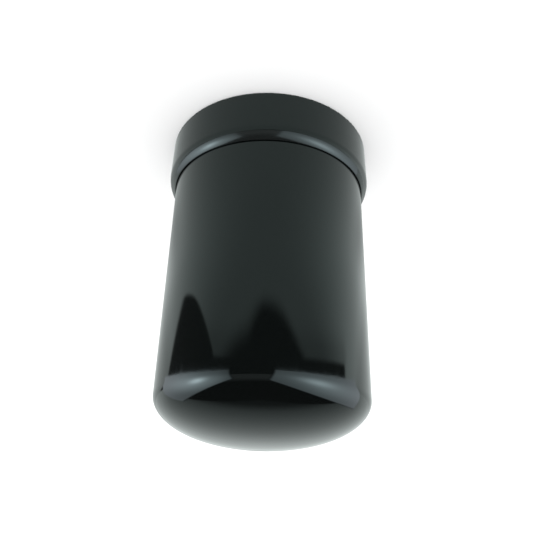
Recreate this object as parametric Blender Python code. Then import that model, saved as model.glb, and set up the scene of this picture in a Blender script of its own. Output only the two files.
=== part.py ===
"""Survey prism: a round corner-cube reflector in a domed, screw-on canister.

Units are metres, with +Z up. The origin is the centre of the front ring's flat front face. The
object stands on that face with its dome upwards, so the glass looks down, along -Z.
"""

import math

import bmesh
import bpy
from mathutils import Matrix, Vector

# Driving dimensions of the outside.
LENGTH = 0.1141
BODY_RADIUS = 0.0360
DOME_HEIGHT = 0.0148
DOME_FULLNESS = 2.1
RING_FOOT_RADIUS = 0.0383
RING_RADIUS = 0.0386
RING_LENGTH = 0.0191
RING_SHOULDER_START = 0.0145
RING_SHOULDER_TURN = math.radians(50)

# Walls, gaps and edges.
WALL = 0.0030
GAP = 0.0003
EDGE = 0.0004
OVERCUT = 0.001
SEGMENTS = 36
SMALL_SEGMENTS = 20
DOME_STEPS = 8
ARC_STEPS = 5
MERGE_DISTANCE = 1e-6
SMOOTH_ANGLE = math.radians(35)

# Screw thread between the canister and the front ring: single start, right-handed.
PITCH = 0.0020
THREAD_FADE = 0.0008
CREST_HALF_WIDTH = 0.00020
ROOT_HALF_WIDTH = 0.00062
SHELL_THREAD_ROOT = 0.0348
SHELL_THREAD_CREST = 0.0357
SHELL_THREAD_Z = (0.0053, 0.0125)
RING_THREAD_ROOT = 0.0361
RING_THREAD_CREST = 0.03515
RING_THREAD_Z = (0.0048, 0.0130)

# Front ring.
LIP = 0.0025
APERTURE_RADIUS = 0.0305
APERTURE_LAND = 0.0008
FRONT_BEVEL_RADIUS = 0.0330
RING_BORE = BODY_RADIUS + 0.00035
RING_BORE_START = 0.0134
GASKET_INNER_RADIUS = 0.0312
GASKET_OUTER_RADIUS = 0.0349

# Heights of the stack behind the front lip, each resting on the one before it.
GASKET_BOTTOM = LIP + GAP
GASKET_TOP = GASKET_BOTTOM + 0.0012
MOUTH = GASKET_TOP + GAP
SNAP_GROOVE_BOTTOM = MOUTH + 0.0025
SNAP_BOTTOM = SNAP_GROOVE_BOTTOM + GAP
SNAP_TOP = SNAP_BOTTOM + 0.0010
CELL_FRONT = SNAP_TOP + GAP
CELL_FLANGE_TOP = CELL_FRONT + 0.0036
SEAT_RING_BOTTOM = CELL_FLANGE_TOP + GAP
SEAT_RING_TOP = SEAT_RING_BOTTOM + 0.0008
GLASS_FRONT = SEAT_RING_TOP + GAP

# Corner cube. Its three rear faces fall from the apex by sqrt(2) per unit of radius along their
# middles, and the three ridges between them by sqrt(1/2).
GLASS_RADIUS = 0.0310
GLASS_RIM = 0.0055
FACE_FALL = math.sqrt(2.0)
RIDGE_FALL = math.sqrt(0.5)
APEX = GLASS_FRONT + FACE_FALL * GLASS_RADIUS + GLASS_RIM
FACE_AZIMUTHS = [math.radians(angle) for angle in (90, 210, 330)]
RIDGE_AZIMUTHS = [math.radians(angle) for angle in (30, 150, 270)]

# Canister shell.
BORE = BODY_RADIUS - WALL
DOME_START = LENGTH - DOME_HEIGHT
SHELL_SHOULDER = 0.0142
SEAL_GROOVE_Z = (0.0153, 0.0171)
SEAL_GROOVE_RADIUS = 0.03465
SEAL_WIRE_RADIUS = 0.00055
LEAD_IN = 0.0005
THREAD_RELIEF = 0.0002
SNAP_GROOVE_RADIUS = BORE + 0.0007
SNAP_WIDEST = 0.0028
SNAP_NARROWEST = 0.0022
SNAP_STEPS = 30
EAR_RADIUS = 0.0290
EAR_ANGLE = math.radians(8)
EAR_HALF_GAP = math.radians(5)
EAR_HOLE_SPOT = 0.0307
EAR_HOLE_RADIUS = 0.0007

# Prism cell and back cup, which float together inside the shell.
FLOAT_TRAVEL = 0.0025
CELL_RADIUS = 0.0324
CELL_BORE = GLASS_RADIUS + GAP
CELL_APERTURE = 0.0296
CELL_APERTURE_LAND = 0.0012
CELL_APERTURE_FLARE = 0.0008
CELL_TOP = 0.0495
BAND_GROOVE_RADIUS = CELL_RADIUS - 0.0008
BAND_GROOVE_WIDTH = 0.0022
CELL_BAND_Z = CELL_FRONT + 0.0007
CUP_BAND_Z = 0.0530
CUP_SPIGOT_BOTTOM = 0.0432
CUP_INNER_RADIUS = 0.0286
CUP_FLOOR = APEX + 0.0011
CUP_FLOOR_RADIUS = 0.0200
CUP_FLOOR_DROP = 0.0058
CUP_REAR = CUP_FLOOR + 0.0027
CUP_EDGE_RADIUS = 0.0064
RIB_THICKNESS = 0.0050
RIB_INNER_RADIUS = 0.0163
RIB_OUTER_RADIUS = 0.0300
RIB_CORNER = 0.0050
RIB_OUTER_DEPTH = 0.0060
RIB_CORNER_DEPTH = 0.0020
RIB_INNER_DEPTH = 0.0014
SCREW_Z = 0.0464
SCREW_RADIUS = 0.0015
SCREW_TIP = 0.0280
SOCKET_RADIUS = 0.0008
SOCKET_DEPTH = 0.0016
SADDLE_DEPTH = 0.0016
SADDLE_HALF_WIDTH = 0.0034
SADDLE_NOTCH = 0.0026
SADDLE_LENGTH = 0.0070
SADDLE_RADIUS = 0.0220

# Spring, its seat and its guide stem.
PILOT_OUTER = 0.0170
PILOT_INNER = 0.0154
PILOT_HEIGHT = 0.0025
SEAT_BOTTOM = 0.0980
SEAT_TOP = SEAT_BOTTOM + 0.0016
SEAT_RADIUS = 0.0315
SPRING_RADIUS = 0.0186
SPRING_WIRE = 0.0012
SPRING_END_PITCH = 0.0027
SPRING_ACTIVE_TURNS = 4.5
SPRING_STEPS = 20
SPRING_SIDES = 6
STEM_RADIUS = 0.0030
STEM_BOSS_RADIUS = 0.0070
STEM_BOSS_TOP = CUP_REAR + 0.0040
STEM_TOP = 0.1040
BUMPER_RADIUS = 0.0050
BUMPER_BOTTOM = 0.1011
BUMPER_TOP = LENGTH - WALL - FLOAT_TRAVEL - GAP
BUMPER_CORNER = 0.0015
BUSH_RADIUS = 0.0050
BUSH_FLANGE_RADIUS = 0.0070
BUSH_FLANGE = 0.0008
BUSH_STAND = 0.0006
NUT_THICKNESS = 0.0040
NUT_ACROSS_FLATS = 0.0100

MATERIALS = {
    # name: (linear base colour, roughness, metallic)
    "gloss_black_plastic": ((0.012, 0.014, 0.013), 0.12, 0.0),
    "black_rubber": ((0.020, 0.020, 0.021), 0.75, 0.0),
    "prism_glass": ((0.90, 0.95, 0.93), 0.02, 0.0),
    "black_anodised": ((0.025, 0.025, 0.027), 0.38, 0.9),
    "white_ptfe": ((0.80, 0.80, 0.77), 0.45, 0.0),
    "grey_acetal": ((0.22, 0.23, 0.24), 0.40, 0.0),
    "bright_steel": ((0.60, 0.60, 0.61), 0.25, 1.0),
    "spring_steel": ((0.36, 0.35, 0.34), 0.30, 1.0),
}


def clear_scene():
    for obj in list(bpy.data.objects):
        bpy.data.objects.remove(obj, do_unlink=True)


def material(name):
    found = bpy.data.materials.get(name)
    if found:
        return found
    color, roughness, metallic = MATERIALS[name]
    made = bpy.data.materials.new(name)
    made.use_nodes = True
    made.diffuse_color = (*color, 1.0)
    shader = made.node_tree.nodes["Principled BSDF"]
    shader.inputs["Base Color"].default_value = (*color, 1.0)
    shader.inputs["Roughness"].default_value = roughness
    shader.inputs["Metallic"].default_value = metallic
    return made


def empty(name, height, parent=None):
    """An empty on the Z axis, where the joints of the parts under it turn and slide."""
    made = bpy.data.objects.new(name, None)
    bpy.context.scene.collection.objects.link(made)
    made.parent = parent
    made.location.z = height - (parent.matrix_world.translation.z if parent else 0.0)
    bpy.context.view_layer.update()
    return made


def add_part(name, bm, material_name, parent, place=None):
    """Turn a bmesh into a named object under parent, keeping its place in the world."""
    mesh = bpy.data.meshes.new(name)
    bm.to_mesh(mesh)
    bm.free()
    if material_name:
        mesh.materials.append(material(material_name))
    mesh.shade_smooth()
    mesh.set_sharp_from_angle(angle=SMOOTH_ANGLE)
    obj = bpy.data.objects.new(name, mesh)
    bpy.context.scene.collection.objects.link(obj)
    obj.parent = parent
    if parent:
        obj.matrix_parent_inverse = parent.matrix_world.inverted()
    if place:
        obj.matrix_basis = place
    return obj


def add_helper(name, bm, place=None):
    """A Boolean operand: it isn't a part, so it is hidden from renders."""
    obj = add_part(name, bm, None, None, place)
    obj.hide_render = True
    obj.display_type = "WIRE"
    return obj


def combine(obj, helper, operation):
    modifier = obj.modifiers.new(f"{operation.lower()} {helper.name}", "BOOLEAN")
    modifier.object = helper
    modifier.operation = operation
    modifier.solver = "EXACT"


def turned(outline_at, segments=SEGMENTS):
    """A closed solid whose section at each angle about Z is the outline of (radius, height)."""
    bm = bmesh.new()
    columns = []
    for step in range(segments + 1):
        angle = math.tau * step / segments
        spin = Matrix.Rotation(angle, 3, "Z")
        outline = outline_at(angle)
        columns.append([bm.verts.new(spin @ Vector((r, 0.0, z))) for r, z in outline])
    for left, right in zip(columns, columns[1:]):
        for low in range(len(left)):
            high = (low + 1) % len(left)
            bm.faces.new((left[low], right[low], right[high], left[high]))
    bmesh.ops.remove_doubles(bm, verts=bm.verts, dist=MERGE_DISTANCE)
    bmesh.ops.recalc_face_normals(bm, faces=bm.faces)
    return bm


def turned_plain(outline, segments=SEGMENTS):
    return turned(lambda angle: outline, segments)


def extruded(outline, depth):
    """A prism on the outline of (x, y) points, from z = 0 to depth."""
    bm = bmesh.new()
    face = bm.faces.new([bm.verts.new((x, y, 0.0)) for x, y in outline])
    pushed = bmesh.ops.extrude_face_region(bm, geom=[face])
    top = [item for item in pushed["geom"] if isinstance(item, bmesh.types.BMVert)]
    bmesh.ops.translate(bm, verts=top, vec=(0.0, 0.0, depth))
    bmesh.ops.recalc_face_normals(bm, faces=bm.faces)
    return bm


def cylinder(radius, low, high, segments):
    return turned_plain([(0.0, low), (radius, low), (radius, high), (0.0, high)], segments)


def spread(start, end, steps):
    return [start + (end - start) * step / steps for step in range(steps + 1)]


def dome_arc(radius, height, center_z, start, end, steps):
    """Points of a dome's section, a little fuller than an ellipse, by angle from its equator."""
    points = []
    for angle in spread(start, end, steps):
        across = max(math.cos(angle), 0.0) ** (2 / DOME_FULLNESS)
        points.append((radius * across, center_z + height * math.sin(angle)))
    return points


def circle_arc(center_r, center_z, radius, start, end, steps):
    angles = spread(start, end, steps)
    return [(center_r + radius * math.cos(a), center_z + radius * math.sin(a)) for a in angles]


def thread_points(angle, span, root, crest, offset):
    """The thread's section at an angle, low to high, flat at the root radius at both ends."""
    low, high = span
    points = []
    first, last = -2, math.ceil((high - low) / PITCH) + 1
    for turn in range(first, last + 1):
        center = low + offset + PITCH * (turn + angle / math.tau)
        for side, half_width, radius in (
            (-1, ROOT_HALF_WIDTH, root),
            (-1, CREST_HALF_WIDTH, crest),
            (1, CREST_HALF_WIDTH, crest),
            (1, ROOT_HALF_WIDTH, root),
        ):
            z = min(max(center + side * half_width, low), high)
            fade = min((z - low) / THREAD_FADE, (high - z) / THREAD_FADE, 1.0)
            points.append((root + (radius - root) * max(fade, 0.0), z))
    return points


def front_ring(parent):
    """Screwed collar: a lip with a bevelled aperture, an internal thread, a skirt with a round end."""
    rise = RING_LENGTH - RING_SHOULDER_START
    arc_radius = rise / math.sin(RING_SHOULDER_TURN)
    center_r = RING_RADIUS - arc_radius
    shoulder = circle_arc(center_r, RING_SHOULDER_START, arc_radius, 0.0, RING_SHOULDER_TURN, ARC_STEPS)
    # The ring's thread is half a pitch away from the shell's, so that the two are in mesh.
    offset = SHELL_THREAD_Z[0] - RING_THREAD_Z[0] + PITCH / 2

    def outline(angle):
        thread = thread_points(angle, RING_THREAD_Z, RING_THREAD_ROOT, RING_THREAD_CREST, offset)
        return [
            (FRONT_BEVEL_RADIUS, 0.0),
            (RING_FOOT_RADIUS - EDGE, 0.0),
            (RING_FOOT_RADIUS, EDGE),
            *shoulder,
            (RING_BORE, RING_LENGTH),
            (RING_BORE, RING_BORE_START),
            *reversed(thread),
            (RING_THREAD_ROOT, LIP),
            (APERTURE_RADIUS, LIP),
            (APERTURE_RADIUS, LIP - APERTURE_LAND),
        ]

    add_part("front_ring", turned(outline), "gloss_black_plastic", parent)


def front_gasket(parent):
    outline = [
        (GASKET_INNER_RADIUS, GASKET_BOTTOM),
        (GASKET_OUTER_RADIUS, GASKET_BOTTOM),
        (GASKET_OUTER_RADIUS, GASKET_TOP),
        (GASKET_INNER_RADIUS, GASKET_TOP),
    ]
    add_part("front_gasket", turned_plain(outline), "black_rubber", parent)


def ring_seal(parent):
    center_r = SEAL_GROOVE_RADIUS + GAP + SEAL_WIRE_RADIUS
    center_z = sum(SEAL_GROOVE_Z) / 2
    outline = circle_arc(center_r, center_z, SEAL_WIRE_RADIUS, 0.0, math.tau * 7 / 8, 7)
    add_part("ring_seal", turned_plain(outline), "black_rubber", parent)


def canister_shell(parent):
    """Deep cup with a domed end, a threaded mouth, an O-ring groove and a snap-ring groove."""
    quarter = math.pi / 2
    outer_dome = dome_arc(BODY_RADIUS, DOME_HEIGHT, DOME_START, 0.0, quarter, DOME_STEPS)
    inner_dome = dome_arc(BORE, DOME_HEIGHT - WALL, DOME_START, quarter, 0.0, DOME_STEPS)

    def outline(angle):
        thread = thread_points(angle, SHELL_THREAD_Z, SHELL_THREAD_ROOT, SHELL_THREAD_CREST, 0.0)
        return [
            (BORE, MOUTH),
            (SHELL_THREAD_ROOT - GAP, MOUTH),
            (SHELL_THREAD_ROOT, MOUTH + GAP),
            *thread,
            (SHELL_THREAD_ROOT, SHELL_SHOULDER - LEAD_IN - THREAD_RELIEF),
            (BODY_RADIUS - LEAD_IN, SHELL_SHOULDER - LEAD_IN),
            (BODY_RADIUS, SHELL_SHOULDER),
            (BODY_RADIUS, SEAL_GROOVE_Z[0]),
            (SEAL_GROOVE_RADIUS, SEAL_GROOVE_Z[0]),
            (SEAL_GROOVE_RADIUS, SEAL_GROOVE_Z[1]),
            (BODY_RADIUS, SEAL_GROOVE_Z[1]),
            *outer_dome,
            *inner_dome,
            (BORE, SNAP_TOP + GAP),
            (SNAP_GROOVE_RADIUS, SNAP_TOP + GAP),
            (SNAP_GROOVE_RADIUS, SNAP_GROOVE_BOTTOM),
            (BORE, SNAP_GROOVE_BOTTOM),
        ]

    add_part("canister_shell", turned(outline), "gloss_black_plastic", parent)


def snap_ring(parent):
    """Internal retaining ring: a split ring, widest opposite its gap, with an eared hole at each end."""
    outer = SNAP_GROOVE_RADIUS - GAP
    ear_end = EAR_HALF_GAP + EAR_ANGLE

    def at(radius, angle):
        return (radius * math.cos(angle), radius * math.sin(angle))

    outline = [at(outer, a) for a in spread(EAR_HALF_GAP, math.tau - EAR_HALF_GAP, SNAP_STEPS)]
    outline += [at(EAR_RADIUS, math.tau - EAR_HALF_GAP), at(EAR_RADIUS, math.tau - ear_end)]
    for a in spread(math.tau - ear_end, ear_end, SNAP_STEPS):
        width = SNAP_NARROWEST + (SNAP_WIDEST - SNAP_NARROWEST) * (1 - math.cos(a)) / 2
        outline.append(at(outer - width, a))
    outline += [at(EAR_RADIUS, ear_end), at(EAR_RADIUS, EAR_HALF_GAP)]
    place = Matrix.Translation((0.0, 0.0, SNAP_BOTTOM))
    ring = add_part("snap_ring", extruded(outline, SNAP_TOP - SNAP_BOTTOM), "spring_steel", parent, place)
    for number, side in enumerate((-1, 1), 1):
        x, y = at(EAR_HOLE_SPOT, side * (EAR_HALF_GAP + EAR_ANGLE / 2))
        hole = cylinder(EAR_HOLE_RADIUS, SNAP_BOTTOM - OVERCUT, SNAP_TOP + OVERCUT, 10)
        spot = Matrix.Translation((x, y, 0.0))
        combine(ring, add_helper(f"ear_hole_{number}", hole, spot), "DIFFERENCE")


def spring_seat(parent):
    outline = [
        (BUSH_RADIUS + GAP, SEAT_BOTTOM),
        (PILOT_INNER, SEAT_BOTTOM),
        (PILOT_INNER, SEAT_BOTTOM - PILOT_HEIGHT),
        (PILOT_OUTER, SEAT_BOTTOM - PILOT_HEIGHT),
        (PILOT_OUTER, SEAT_BOTTOM),
        (SEAT_RADIUS - EDGE, SEAT_BOTTOM),
        (SEAT_RADIUS, SEAT_BOTTOM + EDGE),
        (SEAT_RADIUS, SEAT_TOP),
        (BUSH_RADIUS + GAP, SEAT_TOP),
    ]
    add_part("spring_seat", turned_plain(outline), "black_anodised", parent)


def seat_bush(parent):
    """Flanged bush in the spring seat's middle, in which the guide stem slides."""
    inner = STEM_RADIUS + GAP
    outline = [
        (inner, SEAT_BOTTOM - BUSH_STAND),
        (BUSH_RADIUS, SEAT_BOTTOM - BUSH_STAND),
        (BUSH_RADIUS, SEAT_TOP + GAP),
        (BUSH_FLANGE_RADIUS, SEAT_TOP + GAP),
        (BUSH_FLANGE_RADIUS, SEAT_TOP + GAP + BUSH_FLANGE),
        (inner, SEAT_TOP + GAP + BUSH_FLANGE),
    ]
    add_part("seat_bush", turned_plain(outline, SMALL_SEGMENTS), "grey_acetal", parent)


def rear_buffer(parent):
    """Rubber ring that fills the dome's inner corner, behind the spring seat."""
    low = SEAT_TOP + GAP
    height = DOME_HEIGHT - WALL - GAP
    start = math.asin((low - DOME_START) / height)
    outer = dome_arc(BORE - GAP, height, DOME_START, start, math.pi / 4, DOME_STEPS // 2)
    outline = [*outer, (outer[-1][0], low)]
    add_part("rear_buffer", turned_plain(outline), "black_rubber", parent)


def spring_height(turn, low, high, turns):
    """Height of the wire's centre after a number of turns: one close turn at each end."""
    middle_pitch = (high - low - 2 * SPRING_END_PITCH) / (turns - 2)
    if turn < 1:
        return low + SPRING_END_PITCH * turn
    if turn > turns - 1:
        return high - SPRING_END_PITCH * (turns - turn)
    return low + SPRING_END_PITCH + middle_pitch * (turn - 1)


def float_spring(parent):
    low = CUP_REAR + GAP + SPRING_WIRE
    high = SEAT_BOTTOM - GAP - SPRING_WIRE
    turns = SPRING_ACTIVE_TURNS + 2
    last_side = math.tau * (1 - 1 / SPRING_SIDES)
    bm = bmesh.new()
    rings = []
    count = round(turns * SPRING_STEPS)
    for step in range(count + 1):
        angle = math.tau * step / SPRING_STEPS
        center_z = spring_height(step / SPRING_STEPS, low, high, turns)
        section = circle_arc(SPRING_RADIUS, center_z, SPRING_WIRE, 0.0, last_side, SPRING_SIDES - 1)
        spin = Matrix.Rotation(angle, 3, "Z")
        rings.append([bm.verts.new(spin @ Vector((r, 0.0, z))) for r, z in section])
    for here, there in zip(rings, rings[1:]):
        for side in range(SPRING_SIDES):
            after = (side + 1) % SPRING_SIDES
            bm.faces.new((here[side], there[side], there[after], here[after]))
    bm.faces.new(rings[0])
    bm.faces.new(rings[-1])
    bmesh.ops.recalc_face_normals(bm, faces=bm.faces)
    add_part("float_spring", bm, "spring_steel", parent)


def radial_hole(name, azimuth):
    """A clearance hole for a cup screw, along the radius at an azimuth."""
    cutter = cylinder(SCREW_RADIUS + GAP, SCREW_TIP - OVERCUT, CELL_RADIUS + OVERCUT, 12)
    return add_helper(name, cutter, radial_place(azimuth))


def radial_place(azimuth):
    """Turn +Z outwards along the radius at an azimuth, at the height of the cup screws."""
    outwards = Matrix.Rotation(azimuth, 4, "Z") @ Matrix.Rotation(math.pi / 2, 4, "Y")
    return Matrix.Translation((0.0, 0.0, SCREW_Z)) @ outwards


def prism_cell(parent):
    """Tube that holds the glass behind an inner front flange."""
    band_top = CELL_BAND_Z + BAND_GROOVE_WIDTH
    outline = [
        (CELL_APERTURE + CELL_APERTURE_FLARE, CELL_FRONT),
        (CELL_RADIUS - EDGE, CELL_FRONT),
        (CELL_RADIUS, CELL_FRONT + EDGE),
        (CELL_RADIUS, CELL_BAND_Z),
        (BAND_GROOVE_RADIUS, CELL_BAND_Z),
        (BAND_GROOVE_RADIUS, band_top),
        (CELL_RADIUS, band_top),
        (CELL_RADIUS, CELL_TOP),
        (CELL_BORE, CELL_TOP),
        (CELL_BORE, CELL_FLANGE_TOP),
        (CELL_APERTURE, CELL_FLANGE_TOP),
        (CELL_APERTURE, CELL_FRONT + CELL_APERTURE_LAND),
    ]
    cell = add_part("prism_cell", turned_plain(outline), "black_anodised", parent)
    for number, azimuth in enumerate(FACE_AZIMUTHS, 1):
        combine(cell, bpy.data.objects[f"screw_hole_{number}"], "DIFFERENCE")


def glass_seat_ring(parent):
    inner, outer = CELL_APERTURE, CELL_BORE - GAP
    outline = [
        (inner, SEAT_RING_BOTTOM),
        (outer, SEAT_RING_BOTTOM),
        (outer, SEAT_RING_TOP),
        (inner, SEAT_RING_TOP),
    ]
    add_part("glass_seat_ring", turned_plain(outline), "white_ptfe", parent)


def corner_cube_prism(parent):
    """A glass rod with a bevelled front face, cut back to three faces at right angles."""
    blank_top = APEX + OVERCUT
    outline = [
        (0.0, GLASS_FRONT),
        (GLASS_RADIUS - EDGE, GLASS_FRONT),
        (GLASS_RADIUS, GLASS_FRONT + EDGE),
        (GLASS_RADIUS, blank_top),
        (0.0, blank_top),
    ]
    bm = turned_plain(outline)
    for azimuth in FACE_AZIMUTHS:
        normal = Vector((FACE_FALL * math.cos(azimuth), FACE_FALL * math.sin(azimuth), 1.0))
        cut = bmesh.ops.bisect_plane(
            bm,
            geom=bm.verts[:] + bm.edges[:] + bm.faces[:],
            dist=MERGE_DISTANCE,
            plane_co=(0.0, 0.0, APEX),
            plane_no=normal.normalized(),
            clear_outer=True,
        )
        edges = [item for item in cut["geom_cut"] if isinstance(item, bmesh.types.BMEdge)]
        bmesh.ops.contextual_create(bm, geom=edges)
    bmesh.ops.recalc_face_normals(bm, faces=bm.faces)
    add_part("corner_cube_prism", bm, "prism_glass", parent)


def ridge_frame(azimuth):
    """A frame on a ridge of the glass: +Z down along the ridge, +Y out of it, +X across it."""
    fall = math.atan(RIDGE_FALL)
    along = Vector((math.cos(fall), 0.0, -math.sin(fall)))
    out = Vector((math.sin(fall), 0.0, math.cos(fall)))
    across = out.cross(along)
    frame = Matrix((across, out, along)).transposed().to_4x4()
    top = Matrix.Translation((0.0, 0.0, APEX))
    return Matrix.Rotation(azimuth, 4, "Z") @ top @ frame


def edge_saddle(number, azimuth, parent):
    """Rubber block, notched at a right angle, that sits on one ridge of the glass."""
    notch, half = SADDLE_NOTCH, SADDLE_HALF_WIDTH
    outline = [(-half, -notch), (-notch, -notch), (0.0, 0.0), (notch, -notch), (half, -notch)]
    outline += [(half, SADDLE_DEPTH), (-half, SADDLE_DEPTH)]
    lift = GAP * math.sqrt(2.0)
    start = SADDLE_RADIUS / math.cos(math.atan(RIDGE_FALL)) - SADDLE_LENGTH / 2
    place = ridge_frame(azimuth) @ Matrix.Translation((0.0, lift, start))
    add_part(f"edge_saddle_{number}", extruded(outline, SADDLE_LENGTH), "black_rubber", parent, place)


def cup_rib(number, azimuth):
    """A fin inside the back cup that presses on one saddle."""
    fall = math.atan(RIDGE_FALL)
    clearance = GAP * math.sqrt(2.0) + SADDLE_DEPTH + GAP

    def underside(radius):
        return APEX + clearance / math.cos(fall) - RIDGE_FALL * radius

    outline = [
        (RIB_INNER_RADIUS, underside(RIB_INNER_RADIUS)),
        (RIB_OUTER_RADIUS, underside(RIB_OUTER_RADIUS)),
        (RIB_OUTER_RADIUS, CUP_REAR - RIB_OUTER_DEPTH),
        (RIB_OUTER_RADIUS - RIB_CORNER, CUP_REAR - RIB_CORNER_DEPTH),
        (RIB_INNER_RADIUS, CUP_REAR - RIB_INNER_DEPTH),
    ]
    stand = Matrix.Rotation(math.pi / 2, 4, "X") @ Matrix.Translation((0.0, 0.0, -RIB_THICKNESS / 2))
    place = Matrix.Rotation(azimuth, 4, "Z") @ stand
    return add_helper(f"cup_rib_{number}", extruded(outline, RIB_THICKNESS), place)


def back_cup(parent):
    """Cover over the coated faces: spigot, glide-band groove, rounded rear, spring pilot, stem boss."""
    band_top = CUP_BAND_Z + BAND_GROOVE_WIDTH
    edge_r, edge_z = CELL_RADIUS - CUP_EDGE_RADIUS, CUP_REAR - CUP_EDGE_RADIUS
    edge = circle_arc(edge_r, edge_z, CUP_EDGE_RADIUS, 0.0, math.pi / 2, ARC_STEPS)
    outline = [
        (CUP_INNER_RADIUS, CUP_SPIGOT_BOTTOM),
        (CELL_BORE - GAP, CUP_SPIGOT_BOTTOM),
        (CELL_BORE - GAP, CELL_TOP + GAP),
        (CELL_RADIUS, CELL_TOP + GAP),
        (CELL_RADIUS, CUP_BAND_Z),
        (BAND_GROOVE_RADIUS, CUP_BAND_Z),
        (BAND_GROOVE_RADIUS, band_top),
        (CELL_RADIUS, band_top),
        *edge,
        (PILOT_OUTER, CUP_REAR),
        (PILOT_OUTER, CUP_REAR + PILOT_HEIGHT),
        (PILOT_INNER, CUP_REAR + PILOT_HEIGHT),
        (PILOT_INNER, CUP_REAR),
        (STEM_BOSS_RADIUS, CUP_REAR),
        (STEM_BOSS_RADIUS, STEM_BOSS_TOP),
        (STEM_RADIUS + GAP, STEM_BOSS_TOP),
        (STEM_RADIUS + GAP, CUP_FLOOR),
        (CUP_FLOOR_RADIUS, CUP_FLOOR),
        (CUP_INNER_RADIUS, CUP_FLOOR - CUP_FLOOR_DROP),
    ]
    cup = add_part("back_cup", turned_plain(outline), "black_anodised", parent)
    for number, azimuth in enumerate(RIDGE_AZIMUTHS, 1):
        combine(cup, cup_rib(number, azimuth), "UNION")
    for number, azimuth in enumerate(FACE_AZIMUTHS, 1):
        combine(cup, bpy.data.objects[f"screw_hole_{number}"], "DIFFERENCE")


def cup_screw(number, azimuth, parent):
    """Flush socket set screw through the cell's wall into the back cup."""
    outer = CELL_RADIUS - GAP
    outline = [
        (0.0, SCREW_TIP),
        (SCREW_RADIUS - GAP, SCREW_TIP),
        (SCREW_RADIUS, SCREW_TIP + GAP),
        (SCREW_RADIUS, outer),
        (0.0, outer),
    ]
    place = radial_place(azimuth)
    screw = add_part(f"cup_screw_{number}", turned_plain(outline, 12), "bright_steel", parent, place)
    socket = cylinder(SOCKET_RADIUS, outer - SOCKET_DEPTH, outer + OVERCUT, 6)
    combine(screw, add_helper(f"screw_socket_{number}", socket, place), "DIFFERENCE")


def glide_band(name, groove_z, parent):
    inner, outer = BAND_GROOVE_RADIUS + GAP, CELL_RADIUS + GAP
    low, high = groove_z + GAP, groove_z + BAND_GROOVE_WIDTH - GAP
    outline = [(inner, low), (outer, low), (outer, high), (inner, high)]
    add_part(name, turned_plain(outline), "white_ptfe", parent)


def guide_stem(parent):
    low = CUP_FLOOR + GAP
    outline = [
        (0.0, low),
        (STEM_RADIUS - EDGE, low),
        (STEM_RADIUS, low + EDGE),
        (STEM_RADIUS, STEM_TOP - EDGE),
        (STEM_RADIUS - EDGE, STEM_TOP),
        (0.0, STEM_TOP),
    ]
    add_part("guide_stem", turned_plain(outline, SMALL_SEGMENTS), "bright_steel", parent)


def stem_nut(parent):
    """Hexagon jam nut that locks the stem on the back cup's boss."""
    low = STEM_BOSS_TOP + GAP
    high = low + NUT_THICKNESS
    blank = cylinder(NUT_ACROSS_FLATS / math.sqrt(3.0), low, high, 6)
    nut = add_part("stem_nut", blank, "bright_steel", parent)
    hole = cylinder(STEM_RADIUS + GAP, low - OVERCUT, high + OVERCUT, SMALL_SEGMENTS)
    combine(nut, add_helper("nut_hole", hole), "DIFFERENCE")


def stem_bumper(parent):
    """Rubber cap on the stem's end, the stop that meets the dome at the end of the float's travel."""
    outline = [
        (STEM_RADIUS + GAP, BUMPER_BOTTOM),
        (BUMPER_RADIUS, BUMPER_BOTTOM),
        (BUMPER_RADIUS, BUMPER_TOP - BUMPER_CORNER),
        (BUMPER_RADIUS - BUMPER_CORNER, BUMPER_TOP),
        (0.0, BUMPER_TOP),
        (0.0, STEM_TOP + GAP),
        (STEM_RADIUS + GAP, STEM_TOP + GAP),
    ]
    add_part("stem_bumper", turned_plain(outline, SMALL_SEGMENTS), "black_rubber", parent)


def build():
    clear_scene()
    ring_frame = empty("ring_frame", 0.0)
    seal_frame = empty("canister_rise", MOUTH, ring_frame)
    canister_frame = empty("canister_turn", MOUTH, seal_frame)
    float_frame = empty("prism_float", CELL_FRONT, canister_frame)

    front_ring(ring_frame)
    front_gasket(ring_frame)
    ring_seal(seal_frame)

    canister_shell(canister_frame)
    snap_ring(canister_frame)
    spring_seat(canister_frame)
    seat_bush(canister_frame)
    rear_buffer(canister_frame)
    float_spring(canister_frame)

    for number, azimuth in enumerate(FACE_AZIMUTHS, 1):
        radial_hole(f"screw_hole_{number}", azimuth)
        cup_screw(number, azimuth, float_frame)
    for number, azimuth in enumerate(RIDGE_AZIMUTHS, 1):
        edge_saddle(number, azimuth, float_frame)
    prism_cell(float_frame)
    glass_seat_ring(float_frame)
    corner_cube_prism(float_frame)
    back_cup(float_frame)
    glide_band("glide_band_front", CELL_BAND_Z, float_frame)
    glide_band("glide_band_rear", CUP_BAND_Z, float_frame)
    guide_stem(float_frame)
    stem_nut(float_frame)
    stem_bumper(float_frame)


build()
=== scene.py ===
"""Looks of the survey prism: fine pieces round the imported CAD, their finishes, and a studio.

Units are metres, with +Z up. The object stands on its front ring, so the glass looks down, and the
camera's picture is upside down, as the reference is. Azimuths in the studio are measured from -Y,
where the camera is, towards +X.
"""

import math

import bmesh
import bpy
from mathutils import Matrix, Vector

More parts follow.
